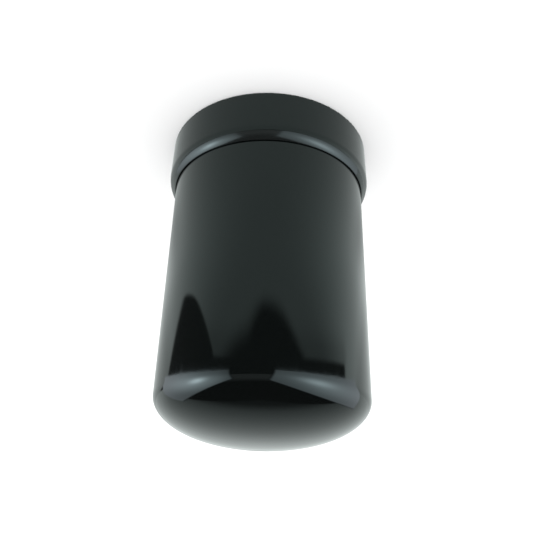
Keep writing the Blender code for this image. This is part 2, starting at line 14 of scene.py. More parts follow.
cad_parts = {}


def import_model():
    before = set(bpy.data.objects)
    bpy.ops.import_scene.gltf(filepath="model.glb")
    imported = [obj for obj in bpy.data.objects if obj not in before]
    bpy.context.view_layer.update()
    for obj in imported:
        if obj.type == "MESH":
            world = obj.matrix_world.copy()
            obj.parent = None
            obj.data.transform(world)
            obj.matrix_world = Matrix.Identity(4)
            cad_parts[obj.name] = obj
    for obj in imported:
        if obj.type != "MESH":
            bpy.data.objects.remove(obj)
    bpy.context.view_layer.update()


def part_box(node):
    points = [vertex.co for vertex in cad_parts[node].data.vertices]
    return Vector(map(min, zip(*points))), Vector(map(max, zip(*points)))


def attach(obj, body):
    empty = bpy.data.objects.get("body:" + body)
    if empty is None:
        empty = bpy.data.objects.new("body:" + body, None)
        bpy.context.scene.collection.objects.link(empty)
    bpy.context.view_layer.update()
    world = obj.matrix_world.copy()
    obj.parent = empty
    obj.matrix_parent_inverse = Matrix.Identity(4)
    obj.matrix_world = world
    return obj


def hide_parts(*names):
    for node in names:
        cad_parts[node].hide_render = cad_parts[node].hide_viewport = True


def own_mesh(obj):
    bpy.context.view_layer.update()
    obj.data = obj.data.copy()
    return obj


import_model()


def bottom(node):
    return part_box(node)[0].z


def top(node):
    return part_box(node)[1].z


def reach(node):
    """The outermost radius of a node that is turned about the Z axis."""
    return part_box(node)[1].x


# Outside, from the frame, and the shapes that a box doesn't give.
LENGTH = top("canister_shell")
RING_RADIUS = reach("front_ring")
RING_LENGTH = top("front_ring")
BODY_RADIUS = 0.0360
DOME_HEIGHT = 0.0148
DOME_FULLNESS = 2.1
DOME_START = LENGTH - DOME_HEIGHT
RING_FOOT_RADIUS = RING_RADIUS - 0.0003
RING_SHOULDER_START = 0.0145
RING_SHOULDER_TURN = math.radians(50)
WALL = 0.0030
GAP = 0.0003
BORE = BODY_RADIUS - WALL
MOUTH = bottom("canister_shell")

# How finely the pieces are cut.
SEGMENTS = 192
SMALL_SEGMENTS = 96
SCREW_SEGMENTS = 48
HOLE_SEGMENTS = 32
DOME_STEPS = 56
BODY_RINGS = 10
FILLET_STEPS = 4
SIDE_PARTS = 2.2  # a fillet takes at most one part in this many of a side
EDGE = 0.00035
FINE_EDGE = 0.00012
OVERCUT = 0.001
MERGE_DISTANCE = 1e-7
SMOOTH_ANGLE = math.radians(38)
FINISH_SUFFIX = "_finish"

# Screw thread between the canister and the front ring. A tooth is (height from its middle, share
# of its depth), with rounded flanks.
PITCH = 0.0020
THREAD_FADE = 0.0008
SHELL_THREAD_ROOT = 0.0348
SHELL_THREAD_CREST = 0.0357
SHELL_THREAD_Z = (0.0053, 0.0125)
RING_THREAD_ROOT = 0.0361
RING_THREAD_CREST = 0.03515
RING_THREAD_Z = (0.0048, 0.0130)
HALF_TOOTH = ((0.00066, 0.0), (0.00056, 0.08), (0.00041, 0.50), (0.00027, 0.91), (0.00017, 1.0))
TOOTH = [(-z, share) for z, share in HALF_TOOTH] + [(z, share) for z, share in reversed(HALF_TOOTH)]

# Front ring.
LIP = 0.0025
APERTURE_RADIUS = 0.0305
APERTURE_LAND = 0.0008
FRONT_BEVEL_RADIUS = 0.0330
RING_BORE = BODY_RADIUS + 0.00015
RING_BORE_START = 0.0134
RING_SHOULDER_STEPS = 24
RING_FOOT_EDGE = 0.0004
GRIP_START = RING_SHOULDER_START + 0.0015
GRIP_FADE = 0.0007
GRIP_EDGE = 0.0001
GASKET_INNER = APERTURE_RADIUS + 0.0007

# Canister shell.
SHELL_SHOULDER = 0.0142
SEAL_GROOVE_Z = (0.0153, 0.0171)
SEAL_GROOVE_RADIUS = 0.03465
SEAL_WIRE_RADIUS = 0.00055
SNAP_GROOVE_RADIUS = BORE + 0.0007
SHELL_SHOULDER_DROP = 0.0007
SHELL_SHOULDER_EDGE = 0.0005
SHELL_SIDE_Z = (SEAL_GROOVE_Z[1] + 0.0008, DOME_START - 0.0004)
GASKET_OUTER = SHELL_THREAD_ROOT + 0.0001

# Snap ring: its width varies, and a hole goes through each of its two ears.
SNAP_BOTTOM, SNAP_TOP = bottom("snap_ring"), top("snap_ring")
SNAP_HALF_GAP = math.radians(5)
SNAP_WIDEST, SNAP_NARROWEST = 0.0028, 0.0022
SNAP_STEPS = 150
SNAP_EDGE = 0.00008
EAR_ANGLE = math.radians(8)
EAR_RADIUS = 0.0290
EAR_CORNER, EAR_CORNER_TURN = 0.0008, 0.020
EAR_HOLE_OFFSET = 0.0017
EAR_HOLE_RADIUS = 0.0007

# Corner cube: its rear faces fall from the apex by sqrt(2) per unit of radius along their middles,
# and the ridges between them by sqrt(1/2).
GLASS_FRONT = bottom("corner_cube_prism")
APEX = top("corner_cube_prism")
GLASS_RADIUS = 0.0310
FACE_FALL = math.sqrt(2.0)
RIDGE_FALL = math.sqrt(0.5)
FACE_AZIMUTHS = [math.radians(angle) for angle in (90, 210, 330)]
RIDGE_AZIMUTHS = [math.radians(angle) for angle in (30, 150, 270)]
GLASS_CHAMFER = 0.0004
FILM_GAP = 0.00004
FILM_THICKNESS = 0.00008
FILM_INSET = 0.0002
FILM_START = GLASS_FRONT + 0.006

# Prism cell and back cup.
CELL_FRONT = bottom("prism_cell")
CELL_TOP = top("prism_cell")
CELL_FLANGE_TOP = CELL_FRONT + 0.0036
CELL_RADIUS = 0.0324
CELL_BORE = GLASS_RADIUS + GAP
CELL_APERTURE = 0.0296
CELL_APERTURE_LAND = 0.0012
CELL_APERTURE_FLARE = 0.0008
GLASS_SEAT_INNER = CELL_APERTURE + 0.0002
BAND_GROOVE_RADIUS = CELL_RADIUS - 0.0008
BAND_GROOVE_WIDTH = 0.0022
CELL_BAND_Z = CELL_FRONT + 0.0007
CUP_BAND_Z = 0.0530
CUP_BOTTOM = bottom("back_cup")
CUP_INNER_RADIUS = 0.0286
CUP_FLOOR = APEX + 0.0011
CUP_REAR = CUP_FLOOR + 0.0027
CUP_EDGE_RADIUS = 0.0064
CUP_FLOOR_RADIUS = 0.0200
CUP_FLOOR_DROP = 0.0058
CUP_FLOOR_FILLET = 0.0020
CUP_EDGE_STEPS = 20
RIB_THICKNESS = 0.0050
RIB_INNER_RADIUS = 0.0163
RIB_WALL_RADIUS = CUP_INNER_RADIUS + 0.0014
RIB_WALL_TOP = CUP_REAR - 0.0060
RIB_SLOPE_TOP = (RIB_WALL_RADIUS - 0.0050, CUP_REAR - 0.0020)
RIB_INNER_TOP = CUP_REAR - 0.0014
SCREW_Z = 0.0464
SCREW_RADIUS = 0.0015
SCREW_TIP = 0.0006
SOCKET_RADIUS = 0.0008
SOCKET_DEPTH = 0.0016
SADDLE_DEPTH = 0.0016
SADDLE_HALF_WIDTH = 0.0034
SADDLE_NOTCH = 0.0026
SADDLE_LENGTH = 0.0070
SADDLE_RADIUS = 0.0220
SADDLE_EDGE = 0.0002

# Spring, its seat and its guide stem.
PILOT_OUTER = 0.0170
PILOT_INNER = 0.0154
PILOT_HEIGHT = 0.0025
SEAT_TOP = top("spring_seat")
SEAT_BOTTOM = SEAT_TOP - 0.0016
SEAT_RADIUS = reach("spring_seat")
SPRING_RADIUS = 0.0186
SPRING_WIRE = 0.0012
SPRING_END_PITCH = 0.0027
SPRING_TURNS = 6.5
SPRING_STEPS = 48
SPRING_SIDES = 16
STEM_RADIUS = 0.0030
STEM_CHAMFER = 0.0004
STEM_TOP = top("guide_stem")
STEM_BOSS_RADIUS = 0.0070
STEM_BOSS_TOP = CUP_REAR + 0.0040
BUSH_RADIUS = 0.0050
BUSH_FLANGE_RADIUS = 0.0070
NUT_ACROSS = 0.0100
NUT_CHAMFER = 0.0006
NUT_OVERCUT = 0.0002
BUFFER_STEPS = 16
BUMPER_RADIUS = 0.0050
BUMPER_CORNER = 0.0015
BUMPER_BOTTOM, BUMPER_TOP = bottom("stem_bumper"), top("stem_bumper")


# Meshes ------------------------------------------------------------------------------------------


def rounded(outline):
    """Round the corners of a closed outline: a point is (r, z), or (r, z, radius) to round it."""
    points = []
    for index, corner in enumerate(outline):
        here = Vector(corner[:2])
        if len(corner) == 2:
            points.append(tuple(here))
            continue
        before = Vector(outline[index - 1][:2]) - here
        after = Vector(outline[(index + 1) % len(outline)][:2]) - here
        cut = corner[2] / math.tan(before.angle(after) / 2)
        cut = min(cut, before.length / SIDE_PARTS, after.length / SIDE_PARTS)
        start = here + before.normalized() * cut
        end = here + after.normalized() * cut
        for step in range(FILLET_STEPS + 1):
            t = step / FILLET_STEPS
            points.append(tuple(start * (1 - t) ** 2 + here * 2 * t * (1 - t) + end * t**2))
    return points


def turned(outline_at, segments=SEGMENTS):
    """A closed solid whose section at each angle about Z is the outline of (radius, height)."""
    bm = bmesh.new()
    columns = []
    for step in range(segments + 1):
        angle = math.tau * step / segments
        spin = Matrix.Rotation(angle, 3, "Z")
        columns.append([bm.verts.new(spin @ Vector((r, 0.0, z))) for r, z in outline_at(angle)])
    for left, right in zip(columns, columns[1:]):
        for low in range(len(left)):
            high = (low + 1) % len(left)
            bm.faces.new((left[low], right[low], right[high], left[high]))
    bmesh.ops.remove_doubles(bm, verts=bm.verts, dist=MERGE_DISTANCE)
    bmesh.ops.recalc_face_normals(bm, faces=bm.faces)
    return bm


def turned_plain(outline, segments=SEGMENTS):
    points = rounded(outline)
    return turned(lambda angle: points, segments)


def turned_band(inner, outer, low, high, segments=SEGMENTS):
    """A flat ring with fine edges."""
    corners = [(inner, low), (outer, low), (outer, high), (inner, high)]
    return turned_plain([(r, z, FINE_EDGE) for r, z in corners], segments)


def extruded(outline, depth):
    """A prism on the outline of (x, y) points, from z = 0 to depth."""
    bm = bmesh.new()
    face = bm.faces.new([bm.verts.new((x, y, 0.0)) for x, y in outline])
    pushed = bmesh.ops.extrude_face_region(bm, geom=[face])
    raised = [item for item in pushed["geom"] if isinstance(item, bmesh.types.BMVert)]
    bmesh.ops.translate(bm, verts=raised, vec=(0.0, 0.0, depth))
    bmesh.ops.recalc_face_normals(bm, faces=bm.faces)
    return bm


def cylinder(radius, low, high, segments):
    return turned_plain([(0.0, low), (radius, low), (radius, high), (0.0, high)], segments)


def spread(start, end, steps):
    return [start + (end - start) * step / steps for step in range(steps + 1)]


def dome_arc(radius, height, center_z, start, end, steps):
    """A quarter of an ellipse, made a little fuller, between two angles."""
    return [
        (radius * max(math.cos(a), 0.0) ** (2 / DOME_FULLNESS), center_z + height * math.sin(a))
        for a in spread(start, end, steps)
    ]


def circle_arc(center_r, center_z, radius, start, end, steps):
    angles = spread(start, end, steps)
    return [(center_r + radius * math.cos(a), center_z + radius * math.sin(a)) for a in angles]


def thread_points(angle, span, root, crest, offset):
    """The thread's section at an angle, low to high, fading into the root radius at both ends."""
    low, high = span
    points = []
    for turn in range(-2, math.ceil((high - low) / PITCH) + 2):
        center = low + offset + PITCH * (turn + angle / math.tau)
        for side, share in TOOTH:
            z = min(max(center + side, low), high)
            fade = max(min((z - low) / THREAD_FADE, (high - z) / THREAD_FADE, 1.0), 0.0)
            points.append((root + (crest - root) * share * fade, z))
    return points


def new_object(name, bm, place=None):
    mesh = bpy.data.meshes.new(name)
    bm.to_mesh(mesh)
    bm.free()
    if place:
        mesh.transform(place)
    obj = bpy.data.objects.new(name, mesh)
    bpy.context.scene.collection.objects.link(obj)
    return obj


def combine(obj, operation, bm, place=None):
    """Add a shape to a piece, or cut it away, and keep nothing but the result."""
    helper = new_object("helper", bm, place)
    modifier = obj.modifiers.new("combine", "BOOLEAN")
    modifier.object = helper
    modifier.operation = operation
    modifier.solver = "EXACT"
    settle(obj)
    bpy.data.objects.remove(helper, do_unlink=True)


def settle(obj):
    """Turn a piece's modifiers into plain mesh."""
    graph = bpy.context.evaluated_depsgraph_get()
    graph.update()
    mesh = bpy.data.meshes.new_from_object(obj.evaluated_get(graph))
    obj.modifiers.clear()
    obj.data = mesh


def bevel(obj, width=FINE_EDGE):
    """Break the sharp edges of a piece that isn't turned."""
    modifier = obj.modifiers.new("edges", "BEVEL")
    modifier.width = width
    modifier.segments = 3
    modifier.limit_method = "ANGLE"
    modifier.angle_limit = SMOOTH_ANGLE
    settle(obj)


def finish_piece(obj, finish, body, *nodes):
    """Smooth a piece, give it its finish, and put it on its body in place of its CAD nodes."""
    obj.data.materials.clear()
    obj.data.materials.append(finish)
    obj.data.shade_smooth()
    obj.data.set_sharp_from_angle(angle=SMOOTH_ANGLE)
    normals = obj.modifiers.new("even normals", "WEIGHTED_NORMAL")
    normals.keep_sharp = True
    if nodes:
        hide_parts(*nodes)
    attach(obj, body)
    return obj


# Finishes ----------------------------------------------------------------------------------------


class Nodes:
    """A node tree, and the few node shapes that the finishes and the studio use."""

    def __init__(self, tree):
        self.tree = tree

    def feed(self, socket, value):
        """Link a socket, or set it; a colour is three numbers."""
        if isinstance(value, bpy.types.NodeSocket):
            self.tree.links.new(value, socket)
        else:
            socket.default_value = (*value, 1.0) if socket.type == "RGBA" else value

    def node(self, kind, **links):
        """A new node, its inputs linked or set by name, with _ for a space."""
        made = self.tree.nodes.new(kind)
        for socket, value in links.items():
            self.feed(made.inputs[socket.replace("_", " ")], value)
        return made

    def between(self, value, low, high, start=0.0, end=1.0):
        """value moved from low..high to start..end, with soft ends."""
        span = {"From_Min": low, "From_Max": high, "To_Min": start, "To_Max": end}
        made = self.node("ShaderNodeMapRange", Value=value, **span)
        made.interpolation_type = "SMOOTHSTEP"
        return made.outputs["Result"]

    def math(self, operation, first, second=0.0):
        made = self.tree.nodes.new("ShaderNodeMath")
        made.operation = operation
        self.feed(made.inputs[0], first)
        self.feed(made.inputs[1], second)
        return made.outputs[0]

    def product(self, first, *others):
        for other in others:
            first = self.math("MULTIPLY", first, other)
        return first

    def vector_math(self, operation, vector):
        made = self.tree.nodes.new("ShaderNodeVectorMath")
        made.operation = operation
        self.feed(made.inputs[0], vector)
        return made

    def mixed(self, share, first, second):
        """A shader between two, by a share from 0 to 1."""
        made = self.tree.nodes.new("ShaderNodeMixShader")
        for socket, value in zip(made.inputs, (share, first, second)):
            self.feed(socket, value)
        return made.outputs[0]


class Finish(Nodes):
    """A Principled material and the node shapes that its colour, roughness and bump use."""

    def __init__(self, name, **values):
        self.material = bpy.data.materials.new(name + FINISH_SUFFIX)
        self.material.use_nodes = True
        super().__init__(self.material.node_tree)
        self.shader = self.tree.nodes["Principled BSDF"]
        for socket, value in values.items():
            self.set(socket.replace("_", " "), value)
        self.place = self.node("ShaderNodeTexCoord").outputs["Object"]

    def set(self, socket, value):
        self.feed(self.shader.inputs[socket], value)

    def shine(self, color, strength):
        """Light of one colour that a surface gives off."""
        return self.node("ShaderNodeEmission", Color=color, Strength=strength).outputs[0]

    def show(self, shader):
        self.feed(self.tree.nodes["Material Output"].inputs["Surface"], shader)

    def stretched(self, x, y, z):
        """The place on the piece, with each axis scaled, for grain that runs one way."""
        return self.node("ShaderNodeMapping", Vector=self.place, Scale=(x, y, z)).outputs["Vector"]

    def noise(self, scale, detail=2.0, vector=None):
        links = {"Vector": vector or self.place, "Scale": scale, "Detail": detail}
        return self.node("ShaderNodeTexNoise", **links).outputs["Fac"]

    def cells(self, scale):
        """Distance to the nearest of a scatter of points."""
        return self.node("ShaderNodeTexVoronoi", Vector=self.place, Scale=scale).outputs["Distance"]

    def blend(self, share, first, second):
        """A colour between two, by a share from 0 to 1."""
        made = self.tree.nodes.new("ShaderNodeMix")
        made.data_type = "RGBA"
        self.feed(made.inputs["Factor"], share)
        self.feed(made.inputs[6], first)
        self.feed(made.inputs[7], second)
        return made.outputs[2]

    def bump(self, height, depth, strength=1.0, normal=None):
        made = self.node("ShaderNodeBump", Height=height, Distance=depth, Strength=strength)
        if normal:
            self.feed(made.inputs["Normal"], normal)
        return made.outputs["Normal"]

    def radius(self):
        """Distance from the Z axis, for turned grain."""
        return self.vector_math("LENGTH", self.stretched(1.0, 1.0, 0.0)).outputs["Value"]

    def height(self):
        return self.node("ShaderNodeSeparateXYZ", Vector=self.place).outputs["Z"]

    def lathe_grain(self, pitch):
        """Fine rings left by turning: they follow the height and the radius together."""
        along = self.math("ADD", self.radius(), self.height())
        drift = self.product(self.noise(90.0), 8 * pitch)
        turns = self.product(self.math("ADD", along, drift), math.tau / pitch)
        return self.math("MULTIPLY_ADD", self.math("SINE", turns), 0.5)


def gloss_black_plastic():
    """Polished black moulding: faint cloudiness, orange peel, wiping marks and a few dust specks.

    The collar's shoulder, where it is gripped, has lost a little of its gloss.
    """
    made = Finish("gloss_black_plastic", IOR=1.5, Specular_Tint=(0.84, 1.0, 0.98))
    cloud = made.noise(28.0, 3.0)
    wiping = made.noise(60.0, 4.0, made.stretched(7.0, 7.0, 0.6))
    specks = made.between(made.cells(130.0), 0.030, 0.012)
    dust = made.product(specks, made.between(made.noise(35.0), 0.52, 0.66))
    color = made.blend(cloud, (0.0012, 0.0017, 0.0017), (0.0024, 0.0030, 0.0029))
    gripped = made.product(
        made.between(made.height(), GRIP_START, GRIP_START + GRIP_FADE),
        made.between(made.height(), RING_LENGTH + 2 * GRIP_EDGE, RING_LENGTH),
        made.between(made.radius(), BODY_RADIUS, BODY_RADIUS + GRIP_EDGE),
    )
    color = made.blend(gripped, color, (0.008, 0.009, 0.009))
    made.set("Base Color", made.blend(dust, color, (0.070, 0.075, 0.075)))
    roughness = made.between(cloud, 0.35, 0.70, 0.040, 0.062)
    roughness = made.math("ADD", roughness, made.between(wiping, 0.56, 0.74, 0.0, 0.025))
    roughness = made.math("ADD", roughness, made.product(gripped, 0.09))
    made.set("Roughness", made.math("ADD", roughness, made.product(dust, 0.3)))
    peel = made.bump(made.noise(420.0, 1.0), 0.0000016)
    made.set("Normal", made.bump(made.noise(45.0, 1.0), 0.000010, normal=peel))
    return made.material


def black_rubber():
    """Moulded rubber: fine matte grain, a little bloom and dust in it."""
    made = Finish("black_rubber", IOR=1.5)
    bloom = made.noise(220.0, 5.0)
    bloomed = made.between(bloom, 0.45, 0.75)
    made.set("Base Color", made.blend(bloomed, (0.014, 0.014, 0.015), (0.032, 0.032, 0.033)))
    made.set("Roughness", made.between(bloom, 0.3, 0.7, 0.62, 0.82))
    made.set("Normal", made.bump(made.noise(2600.0, 3.0), 0.00003, 0.7))
    return made.material


def prism_glass():
    """Polished crown glass, with the faintest haze."""
    made = Finish("prism_glass", IOR=1.517, Transmission_Weight=1.0)
    haze = made.noise(70.0, 4.0)
    made.set("Base Color", made.blend(haze, (0.975, 0.992, 0.985), (0.990, 0.998, 0.994)))
    made.set("Roughness", made.between(haze, 0.45, 0.75, 0.0, 0.012))
    return made.material


def silvering():
    """The bright film on the glass's rear faces."""
    made = Finish("silvering", Metallic=1.0)
    cloud = made.noise(90.0, 4.0)
    made.set("Base Color", made.blend(cloud, (0.90, 0.90, 0.88), (0.96, 0.95, 0.92)))
    made.set("Roughness", made.between(cloud, 0.3, 0.8, 0.03, 0.07))
    return made.material


def black_anodised():
    """Turned aluminium, dyed black, with fine lathe rings."""
    made = Finish("black_anodised", Metallic=0.35, IOR=1.6)
    cloud = made.noise(160.0, 4.0)
    rings = made.lathe_grain(0.00018)
    made.set("Base Color", made.blend(cloud, (0.014, 0.014, 0.016), (0.030, 0.030, 0.034)))
    roughness = made.between(cloud, 0.3, 0.7, 0.30, 0.40)
    made.set("Roughness", made.math("ADD", roughness, made.product(rings, 0.06)))
    made.set("Normal", made.bump(rings, 0.0000035))
    return made.material


def white_ptfe():
    """Waxy white plastic strip, slightly mottled."""
    made = Finish("white_ptfe", IOR=1.38, Subsurface_Weight=0.15, Subsurface_Scale=0.001)
    mottle = made.noise(500.0, 4.0)
    made.set("Base Color", made.blend(mottle, (0.74, 0.74, 0.70), (0.84, 0.84, 0.81)))
    made.set("Roughness", made.between(mottle, 0.3, 0.7, 0.36, 0.50))
    made.set("Normal", made.bump(made.noise(1800.0, 2.0), 0.000012))
    return made.material


def grey_acetal():
    """Turned grey engineering plastic."""
    made = Finish("grey_acetal", IOR=1.48)
    mottle = made.noise(420.0, 4.0)
    rings = made.lathe_grain(0.00025)
    made.set("Base Color", made.blend(mottle, (0.19, 0.20, 0.21), (0.26, 0.27, 0.28)))
    made.set("Roughness", made.between(mottle, 0.3, 0.7, 0.34, 0.46))
    made.set("Normal", made.bump(rings, 0.000004))
    return made.material


def bright_steel():
    """Turned stainless steel."""
    made = Finish("bright_steel", Metallic=1.0)
    smear = made.noise(260.0, 4.0)
    rings = made.lathe_grain(0.00012)
    made.set("Base Color", made.blend(smear, (0.53, 0.53, 0.53), (0.66, 0.66, 0.67)))
    roughness = made.between(smear, 0.3, 0.7, 0.18, 0.28)
    made.set("Roughness", made.math("ADD", roughness, made.product(rings, 0.05)))
    made.set("Normal", made.bump(rings, 0.0000025))
    return made.material


def spring_steel():
    """Hardened wire and strip: dark, a little oiled, with straw patches from its tempering."""
    made = Finish("spring_steel", Metallic=1.0)
    temper = made.noise(120.0, 3.0)
    oil = made.noise(600.0, 3.0)
    straw = made.between(temper, 0.35, 0.68)
    made.set("Base Color", made.blend(straw, (0.27, 0.27, 0.29), (0.38, 0.34, 0.28)))
    made.set("Roughness", made.between(oil, 0.3, 0.7, 0.22, 0.40))
    made.set("Normal", made.bump(made.noise(2200.0, 2.0), 0.000008))
    return made.material


# Pieces ------------------------------------------------------------------------------------------


def front_ring(finish):
    """The collar: a lip with a bevelled aperture, an internal thread and a rounded shoulder."""
    turn = RING_SHOULDER_TURN
    radius = (RING_LENGTH - RING_SHOULDER_START) / math.sin(turn)
    center_r = RING_RADIUS - radius
    shoulder = circle_arc(center_r, RING_SHOULDER_START, radius, 0.0, turn, RING_SHOULDER_STEPS)
    offset = SHELL_THREAD_Z[0] - RING_THREAD_Z[0] + PITCH / 2
    outside = [
        (FRONT_BEVEL_RADIUS, 0.0, EDGE),
        (RING_FOOT_RADIUS, 0.0, RING_FOOT_EDGE),
        *shoulder[:-1],
        (*shoulder[-1], FINE_EDGE),
        (RING_BORE, RING_LENGTH, FINE_EDGE),
        (RING_BORE, RING_BORE_START),
    ]
    inside = [
        (RING_THREAD_ROOT, LIP, EDGE),
        (APERTURE_RADIUS, LIP, FINE_EDGE),
        (APERTURE_RADIUS, LIP - APERTURE_LAND, FINE_EDGE),
    ]

    def outline(angle):
        thread = thread_points(angle, RING_THREAD_Z, RING_THREAD_ROOT, RING_THREAD_CREST, offset)
        return rounded([*outside, *reversed(thread), *inside])

    finish_piece(new_object("collar", turned(outline)), finish, "ring", "front_ring")


def front_gasket(finish):
    low, high = bottom("front_gasket"), top("front_gasket")
    shape = turned_band(GASKET_INNER, GASKET_OUTER, low, high)
    finish_piece(new_object("collar_gasket", shape), finish, "ring", "front_gasket")


def ring_seal(finish):
    center_r = SEAL_GROOVE_RADIUS + GAP + SEAL_WIRE_RADIUS
    center_z = sum(SEAL_GROOVE_Z) / 2
    outline = circle_arc(center_r, center_z, SEAL_WIRE_RADIUS, 0.0, math.tau * 15 / 16, 15)
    finish_piece(new_object("o_ring", turned_plain(outline)), finish, "seal", "ring_seal")


def canister_shell(finish):
    """Deep domed cup, with a threaded mouth, an O-ring groove and a groove for the snap ring."""
    quarter = math.pi / 2
    outer_dome = dome_arc(BODY_RADIUS, DOME_HEIGHT, DOME_START, 0.0, quarter, DOME_STEPS)
    inner_dome = dome_arc(BORE, DOME_HEIGHT - WALL, DOME_START, quarter, 0.0, DOME_STEPS // 2)
    mouth = [
        (BORE, SNAP_BOTTOM - GAP, FINE_EDGE),
        (BORE, MOUTH, FINE_EDGE),
        (SHELL_THREAD_ROOT, MOUTH, GAP),
        (SHELL_THREAD_ROOT, SHELL_THREAD_Z[0]),
    ]
    outside = [
        (SHELL_THREAD_ROOT, SHELL_THREAD_Z[1]),
        (SHELL_THREAD_ROOT, SHELL_SHOULDER - SHELL_SHOULDER_DROP, GAP),
        (BODY_RADIUS, SHELL_SHOULDER - SHELL_SHOULDER_DROP, SHELL_SHOULDER_EDGE),
        (BODY_RADIUS, SEAL_GROOVE_Z[0], FINE_EDGE),
        (SEAL_GROOVE_RADIUS, SEAL_GROOVE_Z[0], FINE_EDGE),
        (SEAL_GROOVE_RADIUS, SEAL_GROOVE_Z[1], FINE_EDGE),
        (BODY_RADIUS, SEAL_GROOVE_Z[1], FINE_EDGE),
        *[(BODY_RADIUS, z) for z in spread(*SHELL_SIDE_Z, BODY_RINGS)],
        *outer_dome,
        *inner_dome,
        (BORE, SNAP_TOP + GAP, FINE_EDGE),
        (SNAP_GROOVE_RADIUS, SNAP_TOP + GAP),
        (SNAP_GROOVE_RADIUS, SNAP_BOTTOM - GAP),
    ]

    def outline(angle):
        thread = thread_points(angle, SHELL_THREAD_Z, SHELL_THREAD_ROOT, SHELL_THREAD_CREST, 0.0)
        return rounded([*mouth, *thread, *outside])

    finish_piece(new_object("canister", turned(outline)), finish, "canister", "canister_shell")


def snap_ring(finish):
    """Split retaining ring, widest opposite its gap, with a holed ear at each end."""
    outer = SNAP_GROOVE_RADIUS - GAP
    near, far = SNAP_HALF_GAP, SNAP_HALF_GAP + EAR_ANGLE

    def at(radius, angle):
        return (radius * math.cos(angle), radius * math.sin(angle))

    def ear(side):
        """The inner end of an ear, from the gap to where it meets the ring."""
        corners = [(EAR_RADIUS + EAR_CORNER, near), (EAR_RADIUS, near + EAR_CORNER_TURN)]
        corners += [(EAR_RADIUS, far - EAR_CORNER_TURN), (EAR_RADIUS + EAR_CORNER, far)]
        return [at(radius, side * angle) for radius, angle in corners]

    outline = [at(outer, a) for a in spread(near, math.tau - near, SNAP_STEPS)]
    outline += ear(-1)
    for a in spread(math.tau - EAR_ANGLE - SNAP_HALF_GAP, EAR_ANGLE + SNAP_HALF_GAP, SNAP_STEPS):
        width = SNAP_NARROWEST + (SNAP_WIDEST - SNAP_NARROWEST) * (1 - math.cos(a)) / 2
        outline.append(at(outer - width, a))
    outline += reversed(ear(1))
    place = Matrix.Translation((0.0, 0.0, SNAP_BOTTOM))
    ring = new_object("retaining_ring", extruded(outline, SNAP_TOP - SNAP_BOTTOM), place)
    for side in (-1, 1):
        x, y = at(EAR_RADIUS + EAR_HOLE_OFFSET, side * (SNAP_HALF_GAP + EAR_ANGLE / 2))
        hole = cylinder(EAR_HOLE_RADIUS, SNAP_BOTTOM - OVERCUT, SNAP_TOP + OVERCUT, HOLE_SEGMENTS)
        combine(ring, "DIFFERENCE", hole, Matrix.Translation((x, y, 0.0)))
    bevel(ring, SNAP_EDGE)
    finish_piece(ring, finish, "canister", "snap_ring")


def spring_seat(finish):
    bore = BUSH_RADIUS + GAP
    outline = [
        (bore, SEAT_BOTTOM, FINE_EDGE),
        (PILOT_INNER, SEAT_BOTTOM, EDGE),
        (PILOT_INNER, SEAT_BOTTOM - PILOT_HEIGHT, FINE_EDGE),
        (PILOT_OUTER, SEAT_BOTTOM - PILOT_HEIGHT, EDGE),
        (PILOT_OUTER, SEAT_BOTTOM, FINE_EDGE),
        (SEAT_RADIUS, SEAT_BOTTOM, EDGE),
        (SEAT_RADIUS, SEAT_TOP, FINE_EDGE),
        (bore, SEAT_TOP, FINE_EDGE),
    ]
    shape = turned_plain(outline)
    finish_piece(new_object("spring_plate", shape), finish, "canister", "spring_seat")


def seat_bush(finish):
    inner = STEM_RADIUS + GAP
    flange_bottom = SEAT_TOP + GAP
    corners = [
        (inner, bottom("seat_bush")),
        (BUSH_RADIUS, bottom("seat_bush")),
        (BUSH_RADIUS, flange_bottom),
        (BUSH_FLANGE_RADIUS, flange_bottom),
        (BUSH_FLANGE_RADIUS, top("seat_bush")),
        (inner, top("seat_bush")),
    ]
    shape = turned_plain([(r, z, FINE_EDGE) for r, z in corners], SMALL_SEGMENTS)
    finish_piece(new_object("flanged_bush", shape), finish, "canister", "seat_bush")


def rear_buffer(finish):
    """Rubber ring that fills the dome's inner corner, behind the spring seat."""
    low = SEAT_TOP + GAP
    height = DOME_HEIGHT - WALL - GAP
    start = math.asin((low - DOME_START) / height)
    outer = dome_arc(BORE - GAP, height, DOME_START, start, math.pi / 4, BUFFER_STEPS)
    outline = [(*outer[0], FINE_EDGE), *outer[1:-1], (*outer[-1], GAP), (outer[-1][0], low, GAP)]
    shape = turned_plain(outline)
    finish_piece(new_object("buffer_ring", shape), finish, "canister", "rear_buffer")


def spring_height(turn, low, high):
    """Height of the wire's centre after a number of turns: one close turn at each end."""
    middle_pitch = (high - low - 2 * SPRING_END_PITCH) / (SPRING_TURNS - 2)
    if turn < 1:
        return low + SPRING_END_PITCH * turn
    if turn > SPRING_TURNS - 1:
        return high - SPRING_END_PITCH * (SPRING_TURNS - turn)
    return low + SPRING_END_PITCH + middle_pitch * (turn - 1)


